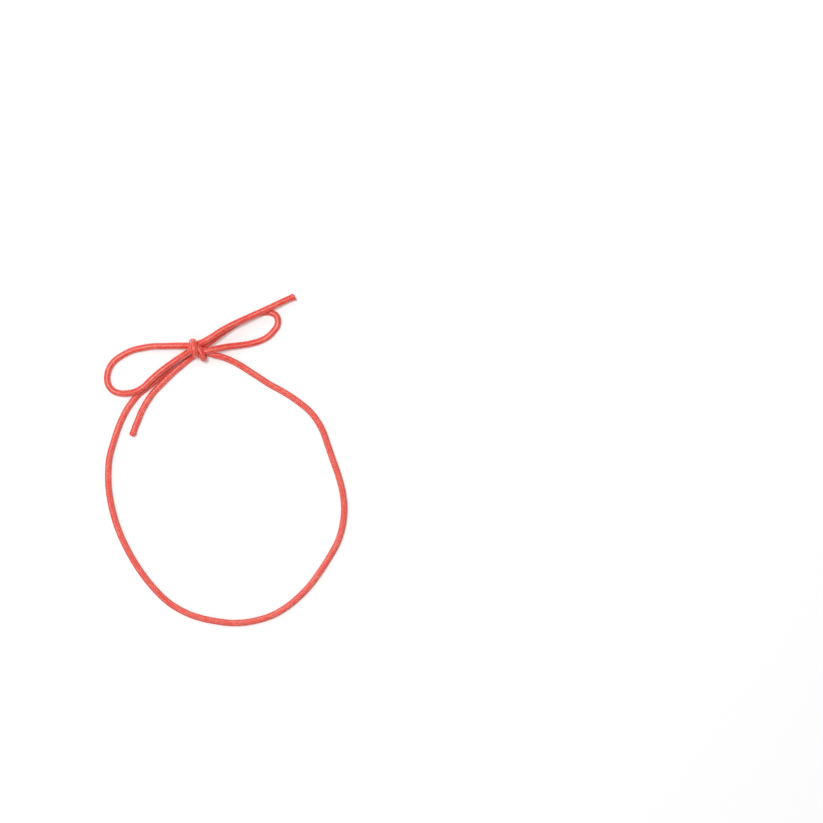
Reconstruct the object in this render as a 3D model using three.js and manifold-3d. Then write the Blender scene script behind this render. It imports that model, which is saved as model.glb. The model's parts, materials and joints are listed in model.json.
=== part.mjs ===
// A stretch loop: one elastic cord whose ends are tied in a bow, so that the rest closes a loop.
// The cord is a woven cover round a rubber core. Each stretch of the cover and of the core is a
// solid of its own. Millimetres, +Z up, and z = 0 is the surface that the loop lies on.
import * as THREE from 'three';
import { mergeVertices } from 'three/addons/utils/BufferGeometryUtils.js';
import Module from 'manifold-3d';

const wasm = await Module();
wasm.setup();

// The cord: a round rubber core, a little clearance, and the woven cover round it
const coreDiameter = 1.2;
const coreClearance = 0.05;
const coverWall = 0.35;
const cordDiameter = coreDiameter + 2 * (coreClearance + coverWall);
const sectionSides = 8;

// The knot squeezes the cord: the two wraps less than the two strands that run through them
const wrapThicknessShare = 0.8;
const passThicknessShare = 0.7;

// Neighbouring stretches meet face to face with this gap
const stretchGap = 0.3;

// The slab that is cut away below the surface reaches past the cord by this much all round
const slabOverrun = 5.0;

// Points this far apart along the cord measure how near a stretch comes to itself. Points of one
// bend, which lie less than half a tight turn apart along the cord, aren't compared.
const measureStep = 0.2;
const tightTurnShare = 1.5;

// The middle of the knot, in plan. The knot's points are given from here.
const knotMiddle = [-8.5, 34.3, 0];

// The route of the cord's middle line, from the right tail's end to the left tail's end
const rightTailRoute = [
  [21.1, 50.8, 1.5], [17.7, 49.3, 2.1], [14.2, 47.6, 2.8], [11.4, 46.3, 3.05], [8.3, 44.9, 3.4],
  [5.5, 43.6, 3.9], [2.7, 42.3, 4.4], [0.2, 41.0, 4.85], [-2.0, 39.85, 5.2],
];
const upperPassRoute = [
  [4.9, 4.25, 5.55], [2.75, 2.95, 5.7], [1.45, 2.25, 5.3], [0.2, 1.55, 4.65], [-0.9, 1.0, 4.15],
  [-2.0, 0.95, 4.1], [-3.4, 1.3, 3.7],
];
const leftBowRoute = [
  [-13.5, 35.6, 2.8], [-16.3, 35.6, 2.2], [-19.5, 35.5, 1.8], [-22.9, 35.4, 1.4],
  [-26.2, 34.9, 1.1], [-29.1, 34.2, 0.9], [-32.0, 32.8, 0.8], [-34.5, 31.1, 0.8],
  [-36.2, 28.9, 0.8], [-37.0, 26.2, 0.8], [-36.7, 23.6, 0.8], [-35.3, 21.7, 0.8],
  [-33.1, 20.8, 1.0], [-30.4, 20.8, 1.9], [-27.8, 21.4, 2.8], [-25.4, 22.8, 3.0],
  [-23.0, 25.1, 3.1], [-20.0, 27.7, 3.2], [-17.0, 29.9, 3.4], [-14.5, 31.6, 3.7],
];
const rightWrapRoute = [
  [-4.1, -1.5, 4.25], [-2.9, -0.7, 4.85], [-1.9, -0.05, 5.4], [-0.95, 0.4, 5.7],
  [-0.05, 0.45, 5.85], [0.65, -0.05, 5.85], [1.05, -0.8, 5.7], [1.35, -1.7, 5.2],
  [1.65, -2.55, 4.2], [1.9, -2.82, 2.85], [1.9, -2.35, 1.6], [1.95, -1.2, 1.0], [2.05, 0.2, 0.8],
  [2.1, 1.25, 0.85], [1.8, 2.02, 1.24], [1.05, 2.4, 1.95], [0.15, 2.1, 2.6], [-0.8, 1.25, 2.65],
  [-1.75, 0.45, 2.25], [-3.1, -0.6, 1.8],
];
const loopLeftRoute = [
  [-13.0, 32.8, 1.45], [-14.9, 31.4, 1.1], [-17.05, 29.6, 0.9], [-19.65, 27.0, 0.8],
  [-22.5, 24.3, 0.8], [-25.3, 22.0, 0.8], [-27.1, 20.6, 0.8], [-28.9, 18.5, 0.8],
  [-30.8, 15.8, 0.8], [-33.2, 10.9, 0.8], [-35.0, 5.5, 0.8], [-36.3, 0.7, 0.8], [-36.7, -4.4, 0.8],
  [-36.5, -9.4, 0.8], [-35.6, -14.7, 0.8], [-33.8, -21.0, 0.8], [-31.0, -27.4, 0.8],
];
const loopFarRoute = [
  [-27.2, -33.9, 0.8], [-23.1, -39.3, 0.8], [-18.1, -44.3, 0.8], [-13.1, -47.4, 0.8],
  [-8.1, -49.3, 0.8], [-3.4, -50.3, 0.8], [1.3, -50.9, 0.8], [5.7, -50.8, 0.8], [10.1, -50.0, 0.8],
  [14.4, -48.6, 0.8], [18.8, -46.1, 0.8], [22.5, -43.1, 0.8], [26.2, -39.3, 0.8],
];
const loopRightRoute = [
  [29.4, -35.0, 0.8], [32.6, -30.0, 0.8], [35.1, -25.3, 0.8], [36.5, -20.4, 0.8],
  [37.0, -15.4, 0.8], [36.5, -10.1, 0.8], [35.1, -4.7, 0.8], [33.3, 0.4, 0.8], [31.8, 4.8, 0.8],
  [30.3, 9.0, 0.8], [28.3, 12.6, 0.8], [26.0, 15.4, 0.8], [23.1, 17.8, 0.8], [20.0, 20.0, 0.8],
  [16.8, 21.9, 0.8], [13.7, 23.6, 0.8], [10.6, 25.6, 0.9], [7.5, 27.6, 1.0], [4.4, 29.6, 1.2],
  [1.3, 31.2, 1.6], [-1.7, 32.3, 2.15],
];
const leftWrapRoute = [
  [4.8, -1.6, 2.5], [3.3, -1.2, 2.6], [2.1, -0.95, 2.75], [1.25, -1.3, 2.9], [0.55, -1.56, 3.45],
  [-0.1, -1.4, 4.3], [-0.55, -1.4, 5.0], [-0.7, -1.2, 6.35], [-0.85, -0.5, 7.15], [-1.0, 0.5, 7.4],
  [-1.05, 1.62, 6.88], [-1.2, 2.25, 5.4], [-1.65, 2.55, 3.85], [-1.95, 2.45, 2.6],
  [-1.6, 2.3, 1.55], [-0.75, 1.9, 1.05], [0.3, 1.07, 1.2], [1.1, 0.76, 2.14], [2.6, 1.47, 2.9],
];
const rightBowRoute = [
  [-4.6, 36.8, 3.05], [-2.7, 38.2, 3.0], [-0.1, 40.1, 2.7], [2.8, 42.0, 2.2], [5.7, 43.7, 1.6],
  [8.8, 45.1, 1.1], [11.8, 46.0, 0.8], [13.9, 46.0, 0.8], [15.6, 45.2, 0.8], [16.3, 43.7, 0.8],
  [16.1, 41.9, 0.8], [14.9, 40.1, 0.8], [13.0, 38.3, 0.8], [10.3, 37.0, 0.9], [7.3, 36.2, 1.2],
  [4.0, 35.7, 1.9], [0.7, 35.3, 2.8], [-2.1, 34.75, 3.6],
];
const lowerPassRoute = [
  [4.3, 0.0, 4.1], [3.0, -0.35, 4.25], [2.1, -0.45, 4.3], [1.25, -0.1, 4.05], [0.4, 0.0, 3.45],
  [-0.4, -0.5, 2.7], [-1.05, -1.3, 2.05], [-1.8, -2.1, 1.3], [-2.75, -2.75, 0.95],
];
const leftTailRoute = [
  [-13.5, 29.7, 0.8], [-16.0, 27.6, 0.8], [-18.1, 25.6, 0.8], [-20.2, 23.5, 0.8],
  [-22.4, 21.2, 0.8], [-24.0, 19.0, 0.8], [-25.3, 16.9, 0.8], [-26.4, 14.8, 0.8],
  [-27.3, 12.5, 0.8], [-28.3, 10.1, 0.8], [-29.0, 8.0, 0.8],
];

const fromKnot = (route) => route.map((point) => point.map((value, axis) => value + knotMiddle[axis]));

// The stretches in their order along the cord. Steps are the rings of facets that each one gets.
const stretches = [
  { name: 'right_tail', group: 'bow', route: rightTailRoute, steps: 9, thicknessShare: 1 },
  {
    name: 'knot_upper_pass', group: 'knot', route: fromKnot(upperPassRoute), steps: 8,
    thicknessShare: passThicknessShare,
  },
  { name: 'left_bow', group: 'bow', route: leftBowRoute, steps: 26, thicknessShare: 1 },
  {
    name: 'knot_right_wrap', group: 'knot', route: fromKnot(rightWrapRoute), steps: 26,
    thicknessShare: wrapThicknessShare,
  },
  { name: 'loop_left_side', group: 'loop', route: loopLeftRoute, steps: 18, thicknessShare: 1 },
  { name: 'loop_far_bend', group: 'loop', route: loopFarRoute, steps: 16, thicknessShare: 1 },
  { name: 'loop_right_side', group: 'loop', route: loopRightRoute, steps: 20, thicknessShare: 1 },
  {
    name: 'knot_left_wrap', group: 'knot', route: fromKnot(leftWrapRoute), steps: 26,
    thicknessShare: wrapThicknessShare,
  },
  { name: 'right_bow', group: 'bow', route: rightBowRoute, steps: 24, thicknessShare: 1 },
  {
    name: 'knot_lower_pass', group: 'knot', route: fromKnot(lowerPassRoute), steps: 9,
    thicknessShare: passThicknessShare,
  },
  { name: 'left_tail', group: 'bow', route: leftTailRoute, steps: 9, thicknessShare: 1 },
];

// One smooth curve through every point of the cord, from tail end to tail end
const cordPoints = stretches.flatMap((stretch) => stretch.route).map((point) => new THREE.Vector3(...point));
const cord = new THREE.CatmullRomCurve3(cordPoints, false, 'centripetal');
const divisionsPerPoint = 40;
cord.arcLengthDivisions = (cordPoints.length - 1) * divisionsPerPoint;
const lengths = cord.getLengths();
const cordLength = cord.getLength();

// The part of the cord between two distances from its start
class CordStretch extends THREE.Curve {
  constructor(from, to) {
    super();
    this.from = from;
    this.to = to;
  }

  getPoint(share, target = new THREE.Vector3()) {
    const distance = THREE.MathUtils.lerp(this.from, this.to, share);
    return cord.getPointAt(distance / cordLength, target);
  }
}

function sectionPoints(radius) {
  const points = [];
  for (let side = 0; side < sectionSides; side += 1) {
    const angle = ((side + 0.5) * 2 * Math.PI) / sectionSides;
    points.push(new THREE.Vector2(radius * Math.cos(angle), radius * Math.sin(angle)));
  }
  return points;
}

function tube(curve, steps, radius, boreRadius) {
  const section = new THREE.Shape(sectionPoints(radius));
  if (boreRadius > 0) {
    section.holes.push(new THREE.Path(sectionPoints(boreRadius).reverse()));
  }
  return new THREE.ExtrudeGeometry(section, { steps, extrudePath: curve });
}

function toSolid(geometry) {
  const bare = geometry.clone();
  bare.deleteAttribute('normal');
  bare.deleteAttribute('uv');
  const merged = mergeVertices(bare);
  const mesh = new wasm.Mesh({
    numProp: 3,
    vertProperties: new Float32Array(merged.attributes.position.array),
    triVerts: new Uint32Array(merged.index.array),
  });
  return new wasm.Manifold(mesh);
}

function toGeometry(solid) {
  const mesh = solid.getMesh();
  const geometry = new THREE.BufferGeometry();
  geometry.setAttribute('position', new THREE.BufferAttribute(mesh.vertProperties, 3));
  geometry.setIndex(new THREE.BufferAttribute(mesh.triVerts, 1));
  geometry.computeVertexNormals();
  return geometry;
}

// Where the cord lies on the surface it is pressed flat: what would reach below z = 0 is cut away
function flattenUnderneath(geometry) {
  geometry.computeBoundingBox();
  const box = geometry.boundingBox;
  if (box.min.z >= 0) {
    return geometry;
  }
  const size = box.getSize(new THREE.Vector3()).addScalar(2 * slabOverrun);
  const middle = box.getCenter(new THREE.Vector3());
  const slab = new THREE.BoxGeometry(size.x, size.y, size.z);
  slab.translate(middle.x, middle.y, -size.z / 2);
  return toGeometry(toSolid(geometry).subtract(toSolid(slab)));
}

const coverMaterial = new THREE.MeshStandardMaterial({ color: 0xe4564b, roughness: 0.75, metalness: 0 });
const coreMaterial = new THREE.MeshStandardMaterial({ color: 0xe9e4da, roughness: 0.6, metalness: 0 });

function makeCover(stretch, curve) {
  const radius = (stretch.thicknessShare * cordDiameter) / 2;
  const boreRadius = radius - stretch.thicknessShare * coverWall;
  const geometry = flattenUnderneath(tube(curve, stretch.steps, radius, boreRadius));
  const mesh = new THREE.Mesh(geometry, coverMaterial.clone());
  mesh.name = `${stretch.name}_cover`;
  return mesh;
}

function makeCore(stretch, curve) {
  const radius = stretch.thicknessShare * (cordDiameter / 2 - coverWall) - coreClearance;
  const mesh = new THREE.Mesh(tube(curve, stretch.steps, radius, 0), coreMaterial.clone());
  mesh.name = `${stretch.name}_core`;
  return mesh;
}

// Each stretch ends half a gap short of where its neighbour starts. The tails' ends are cut.
function curveOf(firstPoint, pointCount, isFirst, isLast) {
  const start = lengths[firstPoint * divisionsPerPoint];
  const end = isLast ? cordLength : lengths[(firstPoint + pointCount) * divisionsPerPoint];
  const startGap = isFirst ? 0 : stretchGap / 2;
  const endGap = isLast ? 0 : stretchGap / 2;
  return new CordStretch(start + startGap, end - endGap);
}

// The least gap between two passes of one stretch of the cover
function leastGapToItself(curve, radius) {
  const count = Math.ceil((curve.to - curve.from) / measureStep);
  const points = curve.getPoints(count);
  const apart = Math.ceil((Math.PI * tightTurnShare * radius) / measureStep);
  let least = Infinity;
  for (let first = 0; first + apart <= count; first += 1) {
    for (let second = first + apart; second <= count; second += 1) {
      least = Math.min(least, points[first].distanceTo(points[second]) - 2 * radius);
    }
  }
  return least;
}

const loop = new THREE.Group();
loop.name = 'stretch_loop';
const groups = {};
for (const name of ['knot', 'bow', 'loop']) {
  groups[name] = new THREE.Group();
  groups[name].name = name;
  loop.add(groups[name]);
}

let firstPoint = 0;
stretches.forEach((stretch, order) => {
  const isLast = order === stretches.length - 1;
  const curve = curveOf(firstPoint, stretch.route.length, order === 0, isLast);
  groups[stretch.group].add(makeCover(stretch, curve), makeCore(stretch, curve));
  const gap = leastGapToItself(curve, (stretch.thicknessShare * cordDiameter) / 2);
  console.log(`${stretch.name}: least gap to itself ${gap.toFixed(2)} mm`);
  firstPoint += stretch.route.length;
});

export default loop;
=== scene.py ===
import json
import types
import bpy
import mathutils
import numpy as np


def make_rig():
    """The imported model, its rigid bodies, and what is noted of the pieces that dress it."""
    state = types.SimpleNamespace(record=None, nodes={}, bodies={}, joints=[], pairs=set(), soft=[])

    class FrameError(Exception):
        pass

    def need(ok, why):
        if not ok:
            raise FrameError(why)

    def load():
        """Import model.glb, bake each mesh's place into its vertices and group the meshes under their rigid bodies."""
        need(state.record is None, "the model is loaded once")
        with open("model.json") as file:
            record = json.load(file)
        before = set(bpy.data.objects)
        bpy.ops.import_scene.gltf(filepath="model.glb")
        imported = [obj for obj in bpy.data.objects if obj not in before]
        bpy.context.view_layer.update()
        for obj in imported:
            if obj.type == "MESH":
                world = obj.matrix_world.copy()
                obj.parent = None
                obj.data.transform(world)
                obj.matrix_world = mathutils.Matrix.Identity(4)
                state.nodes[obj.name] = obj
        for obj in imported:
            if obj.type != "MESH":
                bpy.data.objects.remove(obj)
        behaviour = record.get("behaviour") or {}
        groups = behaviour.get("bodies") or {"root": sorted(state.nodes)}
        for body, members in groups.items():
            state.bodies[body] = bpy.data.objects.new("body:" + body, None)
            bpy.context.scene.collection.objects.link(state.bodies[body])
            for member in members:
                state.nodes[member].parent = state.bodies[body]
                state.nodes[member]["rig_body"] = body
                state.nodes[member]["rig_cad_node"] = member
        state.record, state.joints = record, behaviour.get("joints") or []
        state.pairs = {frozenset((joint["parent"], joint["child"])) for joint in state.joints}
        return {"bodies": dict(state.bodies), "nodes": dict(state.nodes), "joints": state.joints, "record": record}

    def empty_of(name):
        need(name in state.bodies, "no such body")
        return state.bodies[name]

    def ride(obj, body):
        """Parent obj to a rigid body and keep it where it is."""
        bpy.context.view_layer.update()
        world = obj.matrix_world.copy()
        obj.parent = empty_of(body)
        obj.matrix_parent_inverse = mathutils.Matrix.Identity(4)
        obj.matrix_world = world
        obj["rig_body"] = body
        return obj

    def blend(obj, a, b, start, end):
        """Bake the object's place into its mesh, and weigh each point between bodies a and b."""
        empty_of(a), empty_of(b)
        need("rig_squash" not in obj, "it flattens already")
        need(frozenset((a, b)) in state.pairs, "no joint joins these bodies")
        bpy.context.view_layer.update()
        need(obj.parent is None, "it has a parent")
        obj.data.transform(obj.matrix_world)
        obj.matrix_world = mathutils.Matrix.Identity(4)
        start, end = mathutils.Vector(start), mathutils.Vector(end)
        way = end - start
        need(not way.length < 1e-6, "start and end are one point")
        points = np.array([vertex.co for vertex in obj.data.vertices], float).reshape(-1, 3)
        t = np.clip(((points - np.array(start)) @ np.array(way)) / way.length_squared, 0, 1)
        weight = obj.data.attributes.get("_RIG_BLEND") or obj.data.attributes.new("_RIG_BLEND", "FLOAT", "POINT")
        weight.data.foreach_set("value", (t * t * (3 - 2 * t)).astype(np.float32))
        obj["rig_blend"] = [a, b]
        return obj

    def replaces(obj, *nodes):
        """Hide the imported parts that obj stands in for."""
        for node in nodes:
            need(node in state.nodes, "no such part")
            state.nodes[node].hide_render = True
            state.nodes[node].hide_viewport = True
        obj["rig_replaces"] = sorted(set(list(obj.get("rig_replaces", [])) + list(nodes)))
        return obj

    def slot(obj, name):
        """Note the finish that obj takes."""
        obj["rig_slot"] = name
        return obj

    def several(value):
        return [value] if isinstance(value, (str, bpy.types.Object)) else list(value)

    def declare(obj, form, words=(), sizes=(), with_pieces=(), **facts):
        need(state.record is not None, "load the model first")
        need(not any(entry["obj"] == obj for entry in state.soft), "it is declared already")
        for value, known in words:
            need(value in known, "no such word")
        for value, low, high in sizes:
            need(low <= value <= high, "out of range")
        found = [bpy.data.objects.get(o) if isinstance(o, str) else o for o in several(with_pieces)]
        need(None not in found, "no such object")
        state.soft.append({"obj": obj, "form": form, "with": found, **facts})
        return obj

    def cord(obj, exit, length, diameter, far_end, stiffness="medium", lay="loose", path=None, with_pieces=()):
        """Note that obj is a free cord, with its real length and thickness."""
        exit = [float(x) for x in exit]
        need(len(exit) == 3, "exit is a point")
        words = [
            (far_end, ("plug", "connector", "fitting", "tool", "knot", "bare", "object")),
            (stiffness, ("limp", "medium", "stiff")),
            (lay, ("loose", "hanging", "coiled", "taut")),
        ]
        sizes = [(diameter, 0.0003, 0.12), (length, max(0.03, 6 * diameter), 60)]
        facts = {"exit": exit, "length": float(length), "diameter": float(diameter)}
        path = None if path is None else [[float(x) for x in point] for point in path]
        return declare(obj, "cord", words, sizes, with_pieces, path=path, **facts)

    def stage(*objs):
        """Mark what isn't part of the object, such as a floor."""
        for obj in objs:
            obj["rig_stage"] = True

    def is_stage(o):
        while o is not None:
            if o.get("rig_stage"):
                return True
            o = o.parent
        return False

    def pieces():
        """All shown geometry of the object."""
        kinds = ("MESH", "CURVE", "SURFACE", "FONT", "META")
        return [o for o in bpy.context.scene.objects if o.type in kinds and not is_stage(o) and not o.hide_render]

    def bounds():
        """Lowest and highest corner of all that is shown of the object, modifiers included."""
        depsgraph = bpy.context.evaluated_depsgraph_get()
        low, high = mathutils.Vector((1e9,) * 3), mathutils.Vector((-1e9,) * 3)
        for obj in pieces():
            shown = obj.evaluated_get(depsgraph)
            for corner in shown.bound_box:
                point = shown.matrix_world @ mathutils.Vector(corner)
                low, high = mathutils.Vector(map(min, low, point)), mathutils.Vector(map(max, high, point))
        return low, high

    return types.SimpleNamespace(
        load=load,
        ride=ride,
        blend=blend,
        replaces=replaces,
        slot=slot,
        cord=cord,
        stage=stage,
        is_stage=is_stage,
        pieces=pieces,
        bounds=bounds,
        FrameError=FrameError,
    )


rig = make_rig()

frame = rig.load()
CAD_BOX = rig.bounds()

# A stretch loop: one elastic cord whose ends are tied in a bow, laid flat and seen from above.
# Metres, +Z up, and z = 0 is the surface that it lies on.
import json
import logging
import math
from collections.abc import Callable
from dataclasses import dataclass
from enum import Enum

import bpy
import numpy as np
from mathutils import Vector

LOG = logging.getLogger("stretch_loop")
SIZE_FILE = "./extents.json"
WHITE = (1.0, 1.0, 1.0, 1.0)
UP = (0.0, 0.0, 1.0)
Point = tuple[float, float, float]

# How far above the surface every point stays at least
LOWEST = 0.00002


class Stretch(Enum):
    """The stretches of the cord, in their order from the right tail's end to the left tail's."""

    RIGHT_TAIL = "right_tail"
    UPPER_PASS = "knot_upper_pass"
    LEFT_BOW = "left_bow"
    RIGHT_WRAP = "knot_right_wrap"
    LOOP_LEFT_SIDE = "loop_left_side"
    LOOP_FAR_BEND = "loop_far_bend"
    LOOP_RIGHT_SIDE = "loop_right_side"
    LEFT_WRAP = "knot_left_wrap"
    RIGHT_BOW = "right_bow"
    LOWER_PASS = "knot_lower_pass"
    LEFT_TAIL = "left_tail"


# The middle of the knot, from which the points of these stretches are given
KNOT_MIDDLE: Point = (-0.0085, 0.0343, 0.0)
KNOT_STRETCHES: tuple[Stretch, ...] = (
    Stretch.UPPER_PASS, Stretch.RIGHT_WRAP, Stretch.LEFT_WRAP, Stretch.LOWER_PASS)

# How far past a stretch's first point its piece begins, or before it where negative: each bow loop
# meets its neighbours where the wraps hold it, before it bends
SEAM_SHIFTS: dict[Stretch, float] = {
    Stretch.LEFT_BOW: -0.0025, Stretch.RIGHT_WRAP: 0.0023,
    Stretch.RIGHT_BOW: -0.0023, Stretch.LOWER_PASS: 0.0017,
}

# The height of the middle line where the cord lies on the surface, in millimetres
LYING_HEIGHT = 0.8

# The route of the cord's middle line, stretch by stretch, in millimetres. The knot's points are given
# from its middle, and a point without a height lies on the surface.
ROUTE: dict[Stretch, list[tuple[float, ...]]] = {
    Stretch.RIGHT_TAIL: [
        (21.1, 50.8, 1.5), (17.7, 49.3, 2.1), (14.2, 47.6, 2.8), (11.4, 46.3, 3.05), (8.3, 44.9, 3.4),
        (5.5, 43.6, 3.9), (2.7, 42.3, 4.4), (0.2, 41.0, 4.85), (-1.85, 39.75, 5.2),
    ],
    Stretch.UPPER_PASS: [
        (4.9, 4.25, 5.55), (2.75, 2.95, 5.7), (1.45, 2.25, 5.3), (0.2, 1.55, 4.65), (-0.9, 1.0, 4.15),
        (-2.0, 0.95, 4.1), (-3.4, 1.3, 3.7),
    ],
    Stretch.LEFT_BOW: [
        (-13.5, 35.6, 2.8), (-16.3, 35.6, 2.2), (-19.5, 35.5, 1.8), (-22.9, 35.4, 1.4),
        (-26.2, 34.9, 1.1), (-29.1, 34.2, 0.9), (-32.0, 32.8), (-34.5, 31.1), (-36.2, 28.9),
        (-37.0, 26.2), (-36.7, 23.6), (-35.3, 21.7), (-33.1, 20.8, 1.0), (-30.4, 20.8, 1.9),
        (-27.8, 21.4, 2.8), (-25.4, 22.8, 3.0), (-23.0, 25.1, 3.1), (-20.0, 27.7, 3.2),
        (-17.0, 29.9, 3.4), (-14.5, 31.6, 3.7),
    ],
    Stretch.RIGHT_WRAP: [
        (-4.1, -1.5, 4.25), (-2.9, -0.7, 4.85), (-1.9, -0.05, 5.4), (-0.95, 0.4, 5.7),
        (-0.05, 0.45, 5.85), (0.65, -0.05, 5.85), (1.05, -0.8, 5.7), (1.35, -1.7, 5.2),
        (1.65, -2.55, 4.2), (1.9, -2.82, 2.85), (1.9, -2.35, 1.6), (1.95, -1.2, 1.0), (2.05, 0.2),
        (2.1, 1.25, 0.85), (1.8, 2.02, 1.24), (1.05, 2.4, 1.95), (0.15, 2.1, 2.6), (-0.8, 1.25, 2.65),
        (-1.75, 0.45, 2.25), (-3.1, -0.6, 1.8),
    ],
    Stretch.LOOP_LEFT_SIDE: [
        (-13.0, 32.8, 1.45), (-14.9, 31.4, 1.1), (-17.05, 29.6, 0.9), (-19.65, 27.0), (-22.5, 24.3),
        (-25.3, 22.0), (-27.1, 20.6), (-28.9, 18.5), (-30.8, 15.8), (-33.2, 10.9), (-35.0, 5.5),
        (-36.3, 0.7), (-36.7, -4.4), (-36.5, -9.4), (-35.6, -14.7), (-33.8, -21.0), (-31.0, -27.4),
    ],
    Stretch.LOOP_FAR_BEND: [
        (-27.2, -33.9), (-23.1, -39.3), (-18.1, -44.3), (-13.1, -47.4), (-8.1, -49.3), (-3.4, -50.3),
        (1.3, -50.9), (5.7, -50.8), (10.1, -50.0), (14.4, -48.6), (18.8, -46.1), (22.5, -43.1),
        (26.2, -39.3),
    ],
    Stretch.LOOP_RIGHT_SIDE: [
        (29.4, -35.0), (32.6, -30.0), (35.1, -25.3), (36.5, -20.4), (37.0, -15.4), (36.5, -10.1),
        (35.1, -4.7), (33.3, 0.4), (31.8, 4.8), (30.3, 9.0), (28.3, 12.6), (26.0, 15.4), (23.1, 17.8),
        (20.0, 20.0), (16.8, 21.9), (13.7, 23.6), (10.6, 25.6, 0.9), (7.5, 27.6, 1.0), (4.4, 29.6, 1.2),
        (1.3, 31.2, 1.6), (-1.7, 32.3, 2.15),
    ],
    Stretch.LEFT_WRAP: [
        (4.8, -1.6, 2.5), (3.3, -1.2, 2.6), (2.1, -0.95, 2.75), (1.25, -1.3, 2.9), (0.55, -1.56, 3.45),
        (-0.1, -1.4, 4.3), (-0.55, -1.4, 5.0), (-0.7, -1.2, 6.35), (-0.85, -0.5, 7.15),
        (-1.0, 0.5, 7.4), (-1.05, 1.62, 6.88), (-1.2, 2.25, 5.4), (-1.65, 2.55, 3.85),
        (-1.95, 2.45, 2.6), (-1.6, 2.3, 1.55), (-0.75, 1.9, 1.05), (0.3, 1.07, 1.2), (1.1, 0.76, 2.14),
        (2.6, 1.47, 2.9),
    ],
    Stretch.RIGHT_BOW: [
        (-4.6, 36.8, 3.05), (-2.7, 38.2, 3.0), (-0.1, 40.1, 2.7), (2.8, 42.0, 2.2), (5.7, 43.7, 1.6),
        (8.8, 45.1, 1.1), (11.8, 46.0), (13.9, 46.0), (15.6, 45.2), (16.3, 43.7), (16.1, 41.9),
        (14.9, 40.1), (13.0, 38.3), (10.3, 37.0, 0.9), (7.3, 36.2, 1.2), (4.0, 35.7, 1.9),
        (0.7, 35.3, 2.8), (-2.1, 34.75, 3.6),
    ],
    Stretch.LOWER_PASS: [
        (4.3, 0.0, 4.1), (3.0, -0.35, 4.25), (2.1, -0.45, 4.3), (1.25, -0.1, 4.05), (0.4, 0.0, 3.45),
        (-0.4, -0.5, 2.7), (-1.05, -1.3, 2.05), (-1.8, -2.1, 1.3), (-2.75, -2.75, 0.95),
    ],
    Stretch.LEFT_TAIL: [
        (-13.5, 29.7), (-16.0, 27.6), (-18.1, 25.6), (-20.2, 23.5), (-22.4, 21.2), (-24.0, 19.0),
        (-25.3, 16.9), (-26.4, 14.8), (-27.3, 12.5), (-28.3, 10.1), (-29.0, 8.0),
    ],
}


# Helpers for node trees


def plain(value: object) -> object:
    """Return a value's socket, a node's first output, or anything else as it is."""
    source = value.source if isinstance(value, Value) else value
    return source.outputs[0] if isinstance(source, bpy.types.Node) else source


def operator(operation: str, swapped: bool = False) -> Callable[["Value", object], "Value"]:
    """Make one of a value's operators.

    Args:
        operation: the Math node's operation.
        swapped: whether the other operand comes first, as in 1 - mask.

    Returns:
        The operator.
    """
    def apply(value: "Value", other: object) -> "Value":
        """Add the operator's Math node."""
        first, second = (Value(value.sheet, other), value) if swapped else (value, other)
        return first.math(operation, second)

    return apply


class Value:
    """A socket, or a number, with Python's operators. Each one adds a Math node to its tree."""

    def __init__(self, sheet: "NodeSheet", source: object) -> None:
        """Keep the tree and the socket or number."""
        self.sheet = sheet
        self.source = source

    def math(self, operation: str, *others: object) -> "Value":
        """Add one Math node, with this value and the others as its operands."""
        operands = dict(enumerate([self.source, *others]))
        return self.sheet.value(self.sheet.node("ShaderNodeMath", {"operation": operation}, operands))

    __add__ = __radd__ = operator("ADD")
    __sub__ = operator("SUBTRACT")
    __rsub__ = operator("SUBTRACT", swapped=True)
    __mul__ = __rmul__ = operator("MULTIPLY")
    __truediv__ = operator("DIVIDE")
    __rtruediv__ = operator("DIVIDE", swapped=True)
    __pow__ = operator("POWER")
    __lt__ = operator("LESS_THAN")


class NodeSheet:
    """A node tree, and the one method that adds any node to it."""

    def __init__(self, tree: bpy.types.NodeTree) -> None:
        """Keep the tree."""
        self.tree = tree

    def node(self, kind: str, settings: dict | None = None, inputs: dict | None = None) -> bpy.types.Node:
        """Add a node.

        Args:
            kind: the node's type.
            settings: its settings, which are set first.
            inputs: values or links by the sockets' names or numbers.

        Returns:
            The node.
        """
        node = self.tree.nodes.new(kind)
        for name, setting in (settings or {}).items():
            setattr(node, name, setting)
        self.feed(node, inputs or {})
        return node

    def feed(self, node: bpy.types.Node, inputs: dict) -> None:
        """Set or link a node's inputs.

        Args:
            node: the node.
            inputs: values or links by the sockets' names or numbers.
        """
        for name, value in inputs.items():
            value = plain(value)
            if isinstance(value, bpy.types.NodeSocket):
                self.tree.links.new(value, node.inputs[name])
            else:
                node.inputs[name].default_value = value

    def value(self, source: object) -> Value:
        """Wrap a socket, or a node's first output, for expressions."""
        return Value(self, plain(source))

    def vector(self, *parts: object) -> bpy.types.Node:
        """Join up to three numbers into a vector."""
        return self.node("ShaderNodeCombineXYZ", {}, dict(enumerate(parts)))

    def parts(self, vector: object) -> list[Value]:
        """Take a vector apart."""
        return [self.value(part) for part in self.node("ShaderNodeSeparateXYZ", {}, {0: vector}).outputs]

    def mix(self, factor: object, low: object, high: object) -> bpy.types.NodeSocket:
        """Mix two colours, from low at factor 0 to high at factor 1."""
        colours = {"Factor": factor, 6: low, 7: high}
        return self.node("ShaderNodeMix", {"data_type": "RGBA"}, colours).outputs[2]


class MaterialSheet(NodeSheet):
    """The node tree of a new material, with its shader."""

    def __init__(self, name: str) -> None:
        """Make the material.

        Args:
            name: its name.
        """
        self.material = bpy.data.materials.new(name)
        self.material.use_nodes = True
        super().__init__(self.material.node_tree)
        self.shader = self.tree.nodes["Principled BSDF"]


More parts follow.
